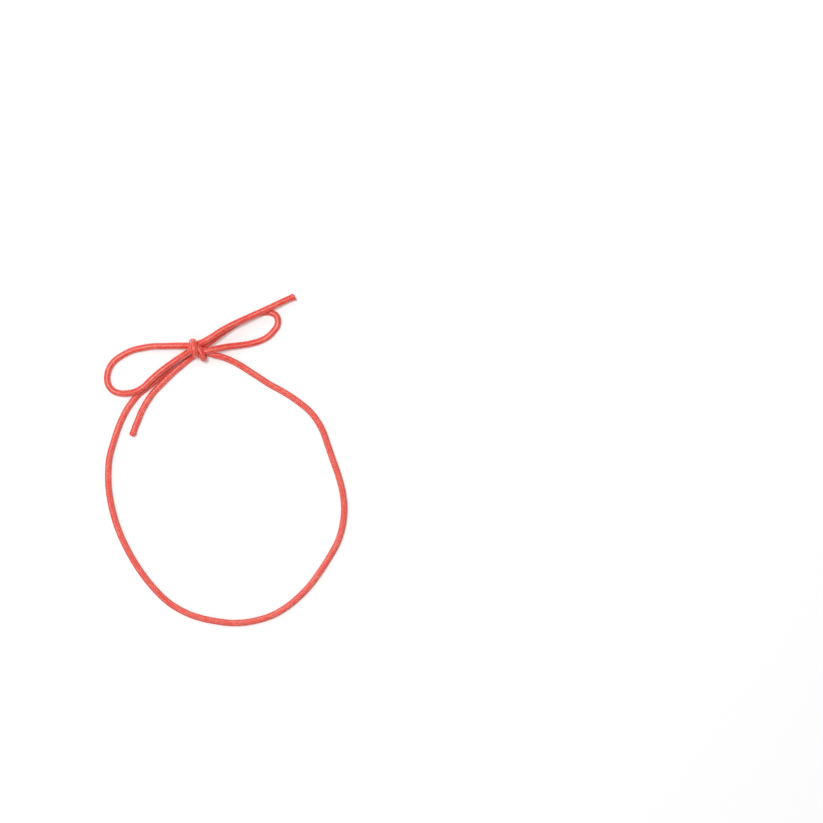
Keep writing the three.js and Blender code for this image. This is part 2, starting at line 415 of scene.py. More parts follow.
class GeometrySheet(NodeSheet):
    """A Geometry Nodes tree with named inputs, whose result becomes a piece of one material."""

    sockets: dict[type, str] = {
        int: "NodeSocketInt", float: "NodeSocketFloat", tuple: "NodeSocketVector"}

    def __init__(self, name: str, inputs: dict[str, object]) -> None:
        """Make the tree and its named inputs.

        Args:
            name: the name of the tree and of the piece.
            inputs: the value of each input, by name.
        """
        super().__init__(bpy.data.node_groups.new(name, "GeometryNodeTree"))
        self.name = name
        face = self.tree.interface
        for side in ("INPUT", "OUTPUT"):
            face.new_socket(name="Geometry", in_out=side, socket_type="NodeSocketGeometry")
        self.values = {}
        for key, value in inputs.items():
            socket = face.new_socket(name=key, in_out="INPUT", socket_type=self.sockets[type(value)])
            self.values[socket.identifier] = value
        self.start = self.tree.nodes.new("NodeGroupInput")
        self.end = self.tree.nodes.new("NodeGroupOutput")

    def given(self, name: str) -> Value:
        """Return an input of the tree by its name."""
        return self.value(self.start.outputs[name])

    def random(self, low: float, high: float, shift: int) -> Value:
        """Return a random number for each copy.

        Args:
            low: the least value.
            high: the greatest value.
            shift: what is added to the tree's seed, so that two uses differ.

        Returns:
            The random number.
        """
        node = self.node("FunctionNodeRandomValue", {"data_type": "FLOAT"}, {
            2: low, 3: high, "Seed": self.given("Seed") + shift})
        return self.value(node.outputs[1])

    def grow(self, result: bpy.types.Node, material: bpy.types.Material,
             base: bpy.types.Mesh) -> bpy.types.Object:
        """Realize the tree's result, dress it, and keep it as a plain mesh.

        Args:
            result: the node with the result.
            material: the material of it all.
            base: the mesh that the tree works on.

        Returns:
            A new piece that holds only the result.
        """
        realized = self.node("GeometryNodeRealizeInstances", {}, {"Geometry": result})
        dressed = self.node("GeometryNodeSetMaterial", {}, {"Geometry": realized, "Material": material})
        self.feed(self.end, {0: dressed})
        carrier = new_piece(f"{self.name}.carrier", base)
        modifier = carrier.modifiers.new(self.name, "NODES")
        modifier.node_group = self.tree
        for identifier, value in self.values.items():
            modifier[identifier] = value
        evaluated = carrier.evaluated_get(bpy.context.evaluated_depsgraph_get())
        mesh = bpy.data.meshes.new_from_object(evaluated)
        bpy.data.objects.remove(carrier)
        mesh.name = self.name
        points = np.zeros(len(mesh.vertices) * 3)
        mesh.vertices.foreach_get("co", points)
        points[2::3] = np.maximum(points[2::3], LOWEST)
        mesh.vertices.foreach_set("co", points)
        return new_piece(self.name, mesh)


def new_piece(name: str, mesh: bpy.types.Mesh) -> bpy.types.Object:
    """Put a mesh in the scene as a piece at the origin.

    Args:
        name: the piece's name.
        mesh: its mesh.

    Returns:
        The piece.
    """
    piece = bpy.data.objects.new(name, mesh)
    bpy.context.scene.collection.objects.link(piece)
    return piece


def linear(red: int, green: int, blue: int) -> tuple[float, float, float, float]:
    """Turn a screen colour into the linear colour that shaders take.

    Args:
        red: its red, from 0 to 255.
        green: its green.
        blue: its blue.

    Returns:
        The linear colour.
    """
    shares = [channel / 255 for channel in (red, green, blue)]
    return (*[share / 12.92 if share <= 0.04045 else ((share + 0.055) / 1.055) ** 2.4
              for share in shares], 1.0)


# Finishes


@dataclass(frozen=True)
class Braid:
    """The sizes of the cover's braid."""

    yarns: int = 12
    cell: float = 0.0009
    relief: float = 0.00007
    float_cells: int = 2
    edge_height: float = 0.6
    mean_height: float = 0.75


def whole(number: object) -> object:
    """Round values or arrays down."""
    return number.math("FLOOR") if isinstance(number, Value) else np.floor(number)


def wrapped(number: object, size: float) -> object:
    """Count values or arrays round and round, from 0 to size."""
    return number.math("FLOORED_MODULO", size) if isinstance(number, Value) else np.mod(number, size)


def crown(share: object) -> object:
    """Round a yarn from edge to edge.

    Args:
        share: the place across the yarn, from 0 to 1.

    Returns:
        The height there: 0 at the edges, and 1 halfway.
    """
    square = 4 * share * (1 - share)
    if isinstance(share, Value):
        return square.math("MAXIMUM", 0.0) ** 0.5
    return np.sqrt(np.clip(square, 0, 1))


class Weave:
    """How the yarns cross: on arrays for the mesh, and alike on values for the material.

    The yarns run to the right or to the left. At each place one of the two kinds is on top, and its
    float, the stretch between two crossings, is rounded lengthwise and across.
    """

    def __init__(self, braid: Braid, turn: object, along: object) -> None:
        """Work out the weave.

        Args:
            braid: the sizes.
            turn: the place round the cord, in turns.
            along: the place along the cord, in cells.
        """
        cells, edge = braid.float_cells, braid.edge_height
        self.right = turn * braid.yarns + along
        self.left = turn * braid.yarns - along
        self.count = wrapped(whole(self.right) + whole(self.left), 2.0 * cells)
        self.on_top = self.count < (cells - 0.5)
        self.under = 1 - self.on_top
        right_part, left_part = wrapped(self.right, 1.0), wrapped(self.left, 1.0)
        self.across = right_part * self.on_top + left_part * self.under
        run = (self.count + left_part) * self.on_top + (self.count - cells + right_part) * self.under
        self.rib = crown(run / cells)
        self.height = self.rib * (edge + (1 - edge) * crown(self.across))


@dataclass(frozen=True)
class CoverFinish:
    """The woven cover: fine red yarn with a soft sheen, part of which is painted into its colour as paler crowns and
    ribs, with painted shade in the gaps.
    """

    braid: Braid
    crown_colour: tuple = linear(240, 38, 26)
    # painted shade: a darker red for the gaps between the yarns, where shade falls
    gap_shade_colour: tuple = linear(216, 10, 6)
    # random tone and painted sheen: the pale colour that floats and ribs turn towards at their crowns
    pale_tone_and_sheen_colour: tuple = linear(246, 156, 134)
    crown_power: float = 0.7
    yarn_bump: float = 0.00005
    filament_bump: float = 0.00002
    filaments_across: float = 6.0
    filament_stretch: float = 0.7
    yarn_steps: tuple = (11.7, 3.1)
    float_contrast: float = 0.4
    filament_contrast: float = 0.12
    # painted sheen: how much paler the ribs of the right-running yarns are, and all ribs a little
    rib_sheen_strength: float = 0.42
    least_rib_sheen_strength: float = 0.02
    rib_power: float = 3.0
    roughness: float = 0.42
    gap_roughness: float = 0.15
    specular: float = 0.4
    gloss: float = 0.6
    gloss_roughness: float = 0.32

    def material(self) -> bpy.types.Material:
        """Build the material on the piece's own UV map.

        The colour goes from painted shade in the gaps to the crown. Each float is a little different and
        paler towards its crown, random tone with painted sheen; each yarn has fine filaments lengthwise,
        and every other rib is paler, a painted sheen of the yarns that run to the right.

        Returns:
            The cover's material.
        """
        sheet = MaterialSheet("woven_cover")
        turn, along, _ = sheet.parts(sheet.node("ShaderNodeUVMap", {"uv_map": "cord"}))
        weave = Weave(self.braid, turn, along)
        right, left, on_top, under = weave.right, weave.left, weave.on_top, weave.under
        yarn = (wrapped(whole(right), self.braid.yarns) * on_top
                + (wrapped(whole(left), self.braid.yarns) + self.braid.yarns) * under)
        place = (whole(right) - whole(left) + weave.count * on_top
                 - (weave.count - self.braid.float_cells) * under)
        along_yarn = left * on_top + right * under
        streaks = sheet.vector(weave.across * self.filaments_across + yarn * self.yarn_steps[0],
                               along_yarn * self.filament_stretch, yarn * self.yarn_steps[1])
        filaments = sheet.value(sheet.node("ShaderNodeTexNoise", {}, {
            "Vector": streaks, "Scale": 1.0, "Detail": 2.0, "Roughness": 0.6}))
        each = sheet.value(sheet.node("ShaderNodeTexWhiteNoise", {"noise_dimensions": "2D"}, {
            "Vector": sheet.vector(yarn + 0.5, place + 0.5)}))
        # painted sheen: every other rib, and a little of each rib, is paler at its crown in place of the yarns' sheen
        painted_rib_sheen = weave.rib ** self.rib_power * (self.rib_sheen_strength * on_top + self.least_rib_sheen_strength)
        uneven = each ** 2.0 * self.float_contrast + filaments * self.filament_contrast
        # painted shade: the colour darkens from each yarn's crown down into the gaps between yarns
        body = sheet.mix(weave.height ** self.crown_power, self.gap_shade_colour, self.crown_colour)
        height = weave.height * (self.yarn_bump / self.filament_bump) + filaments
        sheet.feed(sheet.shader, {
            # random tone with painted sheen: each float pales towards its crown by a random amount, plus the painted
            # rib sheen
            "Base Color": sheet.mix(uneven * weave.height + painted_rib_sheen, body, self.pale_tone_and_sheen_colour),
            "Normal": sheet.node("ShaderNodeBump", {}, {
                "Strength": 1.0, "Distance": self.filament_bump, "Height": height}),
            "Roughness": self.roughness + self.gap_roughness * (1 - weave.height),
            "Specular IOR Level": self.specular, "Coat Weight": self.gloss,
            "Coat Roughness": self.gloss_roughness})
        return sheet.material


@dataclass(frozen=True)
class UnevenFinish:
    """A finish whose colour changes from grain to grain between two colours."""

    name: str
    low_colour: tuple
    high_colour: tuple
    grains: float
    detail: float
    grain_roughness: float
    bump: float
    roughness: float
    bump_height: float = 0.00001

    def material(self) -> bpy.types.Material:
        """Build the material.

        Returns:
            The material.
        """
        sheet = MaterialSheet(self.name)
        grain = sheet.node("ShaderNodeTexNoise", {}, {
            "Vector": sheet.node("ShaderNodeTexCoord").outputs["Object"], "Scale": self.grains,
            "Detail": self.detail, "Roughness": self.grain_roughness})
        sheet.feed(sheet.shader, {
            "Base Color": sheet.mix(grain, self.low_colour, self.high_colour),
            "Normal": sheet.node("ShaderNodeBump", {}, {
                "Strength": self.bump, "Distance": self.bump_height, "Height": grain}),
            "Roughness": self.roughness})
        return sheet.material


# Loose yarn is the cut ends of the cover's yarns, and single stray fibres
LOOSE_YARN = UnevenFinish("loose_yarn", linear(232, 52, 40), linear(244, 140, 122), grains=6000.0,
                          detail=3.0, grain_roughness=0.7, bump=0.8, roughness=0.5)
# The rubber threads of the core are pale, matt and a little uneven
RUBBER = UnevenFinish("rubber_core", linear(205, 178, 160), linear(236, 222, 205), grains=9000.0,
                      detail=2.0, grain_roughness=0.5, bump=0.6, roughness=0.6)


@dataclass(frozen=True)
class Finishes:
    """The materials of the whole cord."""

    cover: bpy.types.Material
    yarn: bpy.types.Material
    rubber: bpy.types.Material


# The cord


@dataclass(frozen=True)
class CordSizes:
    """Real sizes of the cord and of its mesh."""

    diameter: float = 0.002
    braid: Braid = Braid()
    steps_per_point: int = 24
    rings_per_cell: int = 6
    sides: int = 60
    wrap_share: float = 1.06
    hidden_share: float = 0.86
    hidden_heights: tuple = (0.0026, 0.0044)
    taper: float = 0.0007
    passes_apart: float = 0.0036
    least_share: float = 0.3
    swelling: float = 0.35
    rounds: int = 2
    halvings: int = 9

    @property
    def radius(self) -> float:
        """Half the diameter."""
        return self.diameter / 2

    @property
    def step(self) -> float:
        """The distance between two rings."""
        return self.braid.cell / self.rings_per_cell


class CordSurface:
    """The cover's surface along the whole cord: rings of points round one smooth line."""

    def __init__(self, sizes: CordSizes) -> None:
        """Lay the rings, squeeze them where the cord touches itself, and raise the weave.

        Args:
            sizes: the cord's sizes.
        """
        self.sizes = sizes
        self.lay_line()
        self.set_radii()
        self.squeeze()
        self.raise_weave()

    def lay_line(self) -> None:
        """Find the rings' middles, their places along the cord, and their points' directions."""
        points = []
        firsts = {}
        for stretch, route in ROUTE.items():
            firsts[stretch] = len(points) * self.sizes.steps_per_point
            shift = np.array(KNOT_MIDDLE if stretch in KNOT_STRETCHES else (0.0, 0.0, 0.0))
            points += [np.array(in_metres(point)) + shift for point in route]
        line = smooth_line(np.array(points), self.sizes.steps_per_point)
        run = np.concatenate([[0], np.cumsum(np.linalg.norm(np.diff(line, axis=0), axis=1))])
        step = self.sizes.step
        count = int(run[-1] / step) + 1
        self.along = np.arange(count) * step
        self.middles = np.stack([np.interp(self.along, run, line[:, axis]) for axis in range(3)], 1)
        self.starts = {stretch: int(round(run[first] / step)) for stretch, first in firsts.items()}
        self.ends = dict(zip(ROUTE, [*list(self.starts.values())[1:], count - 1]))
        self.seams_before = {stretch: start + int(round(SEAM_SHIFTS.get(stretch, 0.0) / step))
                             for stretch, start in self.starts.items()}
        self.seams_after = dict(zip(ROUTE, [*list(self.seams_before.values())[1:], count - 1]))
        self.forward = unit(np.gradient(self.middles, axis=0))
        across, upward = turning_frames(self.forward)
        angle = np.arange(self.sizes.sides) * 2 * np.pi / self.sizes.sides
        self.directions = (across[:, None] * np.cos(angle)[None, :, None]
                           + upward[:, None] * np.sin(angle)[None, :, None])

    def set_radii(self) -> None:
        """Give each ring its radius: thinner where a wrap is drawn tight under the knot."""
        sizes = self.sizes
        share = np.ones(len(self.along))
        seen = np.interp(self.middles[:, 2], sizes.hidden_heights, (0.0, 1.0))
        for stretch in (Stretch.LEFT_WRAP, Stretch.RIGHT_WRAP):
            span = slice(self.starts[stretch], self.ends[stretch])
            share[span] = sizes.hidden_share + (sizes.wrap_share - sizes.hidden_share) * seen[span]
        reach = int(3 * sizes.taper / sizes.step)
        window = np.exp(-0.5 * (np.arange(-reach, reach + 1) * sizes.step / sizes.taper) ** 2)
        padded = np.pad(share, reach, mode="edge")
        self.radii = np.convolve(padded, window / window.sum(), mode="valid") * sizes.radius

    def squeeze(self) -> None:
        """Press the cord flat where it meets another pass of itself or the surface."""
        shares = np.ones((len(self.along), self.sizes.sides))
        radii = self.radii
        for _ in range(self.sizes.rounds):
            for ring, near in self.neighbours(radii):
                shares[ring] = self.pressed(ring, near, radii)
            radii = self.radii * (1 + self.sizes.swelling * (1 - shares.mean(axis=1)))
        reach = (radii[:, None] * blurred(shares))[:, :, None]
        self.points = self.middles[:, None] + self.directions * reach
        self.points[:, :, 2] = np.maximum(self.points[:, :, 2], LOWEST + self.sizes.braid.relief)

    def neighbours(self, radii: np.ndarray) -> list[tuple[int, np.ndarray]]:
        """List the rings that another pass of the cord touches.

        Args:
            radii: the rings' radii.

        Returns:
            The numbers of these rings, each with those of the other pass's rings.
        """
        found = []
        reach = 2 * self.sizes.diameter
        for ring in range(len(self.along)):
            apart = np.abs(self.along - self.along[ring]) > self.sizes.passes_apart
            gap = np.linalg.norm(self.middles - self.middles[ring], axis=1)
            if (apart & (gap < radii + radii[ring])).any():
                found.append((ring, np.flatnonzero(apart & (gap < reach))))
        return found

    def pressed(self, ring: int, near: np.ndarray, radii: np.ndarray) -> np.ndarray:
        """Move the points of one ring in until they meet the other pass halfway.

        Args:
            ring: the ring's number.
            near: the numbers of the rings of other passes close by.
            radii: the rings' radii.

        Returns:
            The share of the radius for each point.
        """
        low = np.full(self.sizes.sides, self.sizes.least_share)
        high = np.ones(self.sizes.sides)

        def room(shares: np.ndarray) -> np.ndarray:
            """Tell how much nearer each point lies to its own line than to another's.

            Args:
                shares: the points' shares of the radius.

            Returns:
                What is left, below 0 past the middle between the passes.
            """
            points = self.middles[ring] + self.directions[ring] * (shares * radii[ring])[:, None]
            gaps = np.linalg.norm(points[:, None] - self.middles[near], axis=2)
            return (gaps / radii[near]).min(axis=1) - shares

        free = room(high) >= 0
        for _ in range(self.sizes.halvings):
            middle = (low + high) / 2
            fits = room(middle) >= 0
            low = np.where(fits, middle, low)
            high = np.where(fits, high, middle)
        return np.where(free, 1.0, low)

    def raise_weave(self) -> None:
        """Push the points out along the surface's normals by the height of the weave."""
        round_edge = np.roll(self.points, -1, axis=1) - np.roll(self.points, 1, axis=1)
        normals = unit(np.cross(np.gradient(self.points, axis=0), round_edge))
        braid = self.sizes.braid
        turn = np.arange(self.sizes.sides) / self.sizes.sides
        cells = self.along / braid.cell
        height = Weave(braid, turn[None], cells[:, None]).height
        self.points += normals * ((height - braid.mean_height) * braid.relief)[:, :, None]
        self.points[:, :, 2] = np.maximum(self.points[:, :, 2], LOWEST)


def in_metres(point: tuple[float, ...]) -> Point:
    """Turn a point of the route into metres."""
    return tuple(round(value / 1000, 6) for value in (*point, LYING_HEIGHT)[:3])


def unit(vectors: np.ndarray) -> np.ndarray:
    """Give vectors a length of 1."""
    return vectors / np.maximum(np.linalg.norm(vectors, axis=-1, keepdims=True), 1e-12)


def smooth_line(points: np.ndarray, per_span: int) -> np.ndarray:
    """Run a centripetal Catmull-Rom curve through points.

    Args:
        points: the points, one row each.
        per_span: how many steps go from one point to the next.

    Returns:
        The points of the curve.
    """
    before = np.vstack([2 * points[0] - points[1], points[:-2]])
    after = np.vstack([points[2:], 2 * points[-1] - points[-2]])
    start, end = points[:-1], points[1:]

    def knot_gap(first: np.ndarray, second: np.ndarray) -> np.ndarray:
        """Return the curve's parameter from one point to the next."""
        return np.linalg.norm(second - first, axis=1, keepdims=True) ** 0.5

    gap_in, gap, gap_out = knot_gap(before, start), knot_gap(start, end), knot_gap(end, after)
    slope_in = ((start - before) / gap_in - (end - before) / (gap_in + gap) + (end - start) / gap) * gap
    slope_out = ((end - start) / gap - (after - start) / (gap + gap_out) + (after - end) / gap_out) * gap
    share = (np.arange(per_span) / per_span)[None, :, None]
    start, end, slope_in, slope_out = (row[:, None] for row in (start, end, slope_in, slope_out))
    line = (start + slope_in * share + (-3 * start + 3 * end - 2 * slope_in - slope_out) * share ** 2
            + (2 * start - 2 * end + slope_in + slope_out) * share ** 3)
    return np.vstack([line.reshape(-1, 3), points[-1:]])


def turning_frames(forward: np.ndarray) -> tuple[np.ndarray, np.ndarray]:
    """Carry a side direction along a line without twist.

    Args:
        forward: the line's direction at each ring.

    Returns:
        The side direction and the one square to it, at each ring.
    """
    across = np.zeros_like(forward)
    side = unit(np.cross(forward[0], UP))
    for ring, ahead in enumerate(forward):
        side = unit(side - ahead * np.dot(side, ahead))
        across[ring] = side
    return across, np.cross(across, forward)


def blurred(shares: np.ndarray) -> np.ndarray:
    """Round the edges of the pressed places a little, along and round the cord.

    Args:
        shares: the points' shares of the radius, by ring.

    Returns:
        The rounded shares.
    """
    weights = (0.25, 0.5, 0.25)
    for _ in range(2):
        shares = sum(weight * np.roll(shares, turn - 1, axis=1) for turn, weight in enumerate(weights))
        padded = np.pad(shares, ((1, 1), (0, 0)), mode="edge")
        shares = sum(weight * padded[turn:turn + len(shares)] for turn, weight in enumerate(weights))
    return shares


@dataclass(frozen=True)
class CutEnd:
    """The shape of a cut end: how the cover flares, and how its rim stands out.

    Its sign is -1 at a piece's first ring, and 1 at its last.
    """

    sign: int
    flare: float
    flare_length: float
    lobes: float
    reach: float
    slant: float
    reach_at_sides: float
    lip: tuple = ((0.985, 0.1), (0.93, 0.2), (0.84, 0.25), (0.74, 0.2), (0.66, 0.05), (0.6, -0.2))
    lip_cells: float = 0.2
    ragged: float = 0.00004

    def ahead_by(self, sideways: np.ndarray) -> np.ndarray:
        """Tell how far the rim stands ahead of the last ring, from one side (-1) to the other (1)."""
        return self.reach + self.slant * sideways + self.reach_at_sides * sideways ** 2


@dataclass
class CordPiece:
    """One piece of the cord: a run of rings, closed at both ends, of which one may be a cut end."""

    name: str
    surface: CordSurface
    first: Stretch
    last: Stretch
    cut: CutEnd | None = None
    rings_per_point: int = 10
    least_points: int = 8

    @property
    def span(self) -> tuple[int, int]:
        """The numbers of the first and the last ring."""
        return self.surface.seams_before[self.first], self.surface.seams_after[self.last]

    @property
    def cut_ring(self) -> int:
        """The number of the ring at the cut end."""
        return self.span[0 if self.cut.sign < 0 else 1]

    @property
    def cut_direction(self) -> np.ndarray:
        """The direction out of the cut end."""
        return self.surface.forward[self.cut_ring] * self.cut.sign

    def build(self, material: bpy.types.Material) -> bpy.types.Object:
        """Make the piece's mesh, with the places round and along the cord as its UV map.

        Args:
            material: the cover's material.

        Returns:
            The piece.
        """
        first, last = self.span
        rows = list(self.surface.points[first:last + 1])
        cells = list(self.surface.along[first:last + 1] / self.surface.sizes.braid.cell)
        if self.cut:
            order = slice(None, None, -self.cut.sign)
            rows, cells = self.with_cut(rows[order], cells[order])
            rows, cells = rows[order], cells[order]
        mesh = tube_mesh(self.name, np.array(rows), np.array(cells))
        mesh.materials.append(material)
        return new_piece(self.name, mesh)

    def with_cut(self, rows: list, cells: list) -> tuple[list, list]:
        """Flare the rows next to the cut end and fold the cover's rim in.

        Args:
            rows: the rings' points, the cut end's first.
            cells: the rings' places along the cord.

        Returns:
            The rows and places, with the rim's rows in front.
        """
        cut, ring, ahead, sizes = self.cut, self.cut_ring, self.cut_direction, self.surface.sizes
        middle = self.surface.middles[ring]
        sideways = self.surface.directions[ring] @ unit(np.cross(ahead, UP))
        stretch = 1 + cut.flare + cut.lobes * (2 * sideways ** 2 - 1)
        count = int(cut.flare_length / sizes.step)
        for place in range(count):
            share = 1 - place / count
            grown = 1 + (stretch - 1) * share * share
            centre = self.surface.middles[ring - cut.sign * place]
            pushed = ahead * (cut.ahead_by(sideways) * share ** 2)[:, None]
            rows[place] = centre + (rows[place] - centre) * grown[:, None] + pushed
        turns = np.arange(sizes.sides) / sizes.sides
        ragged = cut.ragged * np.cos(2 * np.pi * turns * sizes.braid.yarns)
        rim = rows[0] - middle
        along_rim = (rim @ ahead)[:, None] * ahead
        lip = []
        for share, rise in cut.lip:
            lift = ahead * (rise * sizes.radius + ragged * (1 - abs(rise)))[:, None]
            lip.append(middle + along_rim + (rim - along_rim) * share + lift)
        lifted = np.array(lip[::-1] + rows[:count])
        lifted[:, :, 2] = np.maximum(lifted[:, :, 2], LOWEST)
        steps = [cells[0] + cut.sign * cut.lip_cells * (place + 1) for place in range(len(lip))]
        return [*lifted, *rows[count:]], steps[::-1] + cells

    def declare(self, piece: bpy.types.Object, on_it: list[bpy.types.Object]) -> None:
        """Args:
            piece: the piece.
            on_it: the separate pieces on it.
        """
        first, last = self.span
        middles = self.surface.middles
        count = max(self.least_points, (last - first) // self.rings_per_point)
        line = [tuple(point) for point in middles[np.linspace(first, last, count).astype(int)]]
        if self.cut:
            line = line[::self.cut.sign]
        length = float(np.linalg.norm(np.diff(middles[first:last + 1], axis=0), axis=1).sum())
        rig.cord(piece, exit=line[0], length=length, diameter=self.surface.sizes.diameter,
                far_end="bare" if self.cut else "object", stiffness="limp", lay="loose", path=line,
                with_pieces=on_it)

    def stand_in(self, piece: bpy.types.Object) -> None:
        """Let the piece stand for the cover and core of its stretches.

        Args:
            piece: the piece.
        """
        order = list(Stretch)
        for stretch in order[order.index(self.first):order.index(self.last) + 1]:
            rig.replaces(piece, f"{stretch.value}_cover", f"{stretch.value}_core")


def tube_mesh(name: str, rows: np.ndarray, cells: np.ndarray) -> bpy.types.Mesh:
    """Join rings into a closed tube.

    Args:
        name: the mesh's name.
        rows: the points, by ring and place round it.
        cells: each ring's place along the cord.

    Returns:
        The mesh, with a UV map named cord.
    """
    count, sides = rows.shape[:2]
    ring = np.arange(count - 1)[:, None] * sides
    side = np.arange(sides)[None]
    ahead = (side + 1) % sides
    quads = np.stack([ring + side, ring + sides + side, ring + sides + ahead, ring + ahead], 2)
    first, last = count * sides, count * sides + 1
    points = np.vstack([rows.reshape(-1, 3), rows[0].mean(0), rows[-1].mean(0)])
    start = [(first, place, (place + 1) % sides) for place in range(sides)]
    top = (count - 1) * sides
    end = [(last, top + (place + 1) % sides, top + place) for place in range(sides)]
    mesh = bpy.data.meshes.new(name)
    mesh.from_pydata(points.tolist(), [], quads.reshape(-1, 4).tolist() + start + end)
    turn, turn_ahead = side / sides + 0 * ring, (side + 1) / sides + 0 * ring
    near, far = cells[:-1, None] + 0 * side, cells[1:, None] + 0 * side
    corners = np.stack([turn, near, turn, far, turn_ahead, far, turn_ahead, near], 2).reshape(-1, 2)
    caps = []
    for cell, order in ((cells[0], (0.5, 0, 1)), (cells[-1], (0.5, 1, 0))):
        for place in range(sides):
            caps += [((place + shift) / sides, cell) for shift in order]
    layer = mesh.uv_layers.new(name="cord")
    layer.data.foreach_set("uv", np.vstack([corners, caps]).astype(np.float32).ravel())
    mesh.polygons.foreach_set("use_smooth", np.ones(len(mesh.polygons), bool))
    mesh.validate()
    ends = np.zeros(len(mesh.edges) * 2, int)
    mesh.edges.foreach_get("vertices", ends)
    ends = ends.reshape(-1, 2)
    on_rim = ((ends < sides) | ((ends >= top) & (ends < first))).all(axis=1)
    mesh.edges.foreach_set("use_edge_sharp", on_rim)
    return mesh


@dataclass(frozen=True)
class CutFace:
    """What a cut end shows: the core's rubber threads, and the cut ends of the cover's yarns."""

    threads: int = 31
    thread_radius: float = 0.0001
    thread_length: float = 0.0005
    thread_shift: float = 0.00006
    core_radius: float = 0.00052
    core_depth: float = 0.00015
    golden_angle: float = math.pi * (3 - math.sqrt(5))
    yarn_ends: int = 24
    yarn_radius: float = 0.0001
    yarn_tip: float = 0.6
    yarn_length: float = 0.00032
    yarn_rise: float = 0.00012
    yarn_shifts: tuple = (-0.00006, 0.00004)
    yarn_turn: float = 0.08
    yarn_tilt: float = 0.22
    rim_radius: float = 0.00072
    rim_shares: tuple = (0.93, 1.03)

    def build(self, cord: CordPiece, finishes: Finishes) -> list[bpy.types.Object]:
        """Make what shows at a tail's cut end.

        Args:
            cord: the tail's run of rings.
            finishes: the materials.

        Returns:
            The rubber threads and the cut yarns.
        """
        middle, ahead = cord.surface.middles[cord.cut_ring], cord.cut_direction
        side = cord.name.replace("_cord", "")
        threads = GeometrySheet(f"{side}_core_threads", {
            "Count": self.threads, "Seed": 3, "Spread": self.core_radius, "Ahead": tuple(ahead),
            "Place": tuple(middle + ahead * (cord.cut.reach - self.core_depth))})
        yarns = GeometrySheet(f"{side}_cut_yarns", {
            "Count": self.yarn_ends, "Seed": 11, "Spread": self.rim_radius, "Ahead": tuple(ahead),
            "Place": tuple(middle + ahead * (cord.cut.reach + self.yarn_rise))})
        return [self.core_threads(threads, finishes.rubber), self.frayed_yarns(yarns, finishes.yarn)]

    def core_threads(self, sheet: GeometrySheet, rubber: bpy.types.Material) -> bpy.types.Object:
        """Pack the rubber threads like the seeds of a sunflower.

        Args:
            sheet: the threads' tree.
            rubber: their material.

        Returns:
            The threads.
        """
        number = sheet.value(sheet.node("GeometryNodeInputIndex"))
        reach = ((number + 0.5) / sheet.given("Count")) ** 0.5 * sheet.given("Spread")
        place = number * self.golden_angle, reach, sheet.random(-self.thread_shift, self.thread_shift, 1)
        thread = sheet.node("GeometryNodeMeshCylinder", {}, {
            "Vertices": 10, "Side Segments": 1, "Radius": self.thread_radius, "Depth": self.thread_length})
        return self.bundle(sheet, place, {"Instance": thread}, rubber)

    def frayed_yarns(self, sheet: GeometrySheet, yarn: bpy.types.Material) -> bpy.types.Object:
        """Stand the cut ends of the yarns round the rim, each tilted a little.

        Args:
            sheet: the yarns' tree.
            yarn: their material.

        Returns:
            The yarn ends.
        """
        number = sheet.value(sheet.node("GeometryNodeInputIndex"))
        turn = number / sheet.given("Count") * (2 * math.pi)
        place = (turn + sheet.random(-self.yarn_turn, self.yarn_turn, 1),
                 sheet.given("Spread") * sheet.random(*self.rim_shares, 2),
                 sheet.random(*self.yarn_shifts, 3))
        stub = sheet.node("GeometryNodeMeshCone", {}, {
            "Vertices": 8, "Side Segments": 3, "Radius Top": self.yarn_radius * self.yarn_tip,
            "Radius Bottom": self.yarn_radius, "Depth": self.yarn_length})
        tilt = sheet.vector(*(sheet.random(-self.yarn_tilt, self.yarn_tilt, shift) for shift in (4, 5)))
        turned = sheet.node("FunctionNodeEulerToRotation", {}, {"Euler": tilt})
        return self.bundle(sheet, place, {"Instance": stub, "Rotation": turned}, yarn)

    @staticmethod
    def bundle(sheet: GeometrySheet, place: tuple[Value, Value, Value], copied: dict,
               material: bpy.types.Material) -> bpy.types.Object:
        """Put copies of one shape round the cord's line, and turn them all into its direction.

        Args:
            sheet: the tree.
            place: each copy's turn round the line, its distance from it, and how far it stands out.
            copied: the shape that is copied, and its tilt if it has one.
            material: the material of the copies.

        Returns:
            The copies as one piece.
        """
        turn, reach, out = place
        spots = sheet.vector(turn.math("COSINE") * reach, turn.math("SINE") * reach, out)
        points = sheet.node("GeometryNodePoints", {}, {"Count": sheet.given("Count"), "Position": spots})
        copies = sheet.node("GeometryNodeInstanceOnPoints", {}, {"Points": points, **copied})
        facing = sheet.node("FunctionNodeAlignRotationToVector", {"axis": "Z"}, {
            "Vector": sheet.given("Ahead")})
        placed = sheet.node("GeometryNodeTransform", {}, {
            "Geometry": copies, "Translation": sheet.given("Place"), "Rotation": facing})
        return sheet.grow(placed, material, bpy.data.meshes.new(sheet.name))


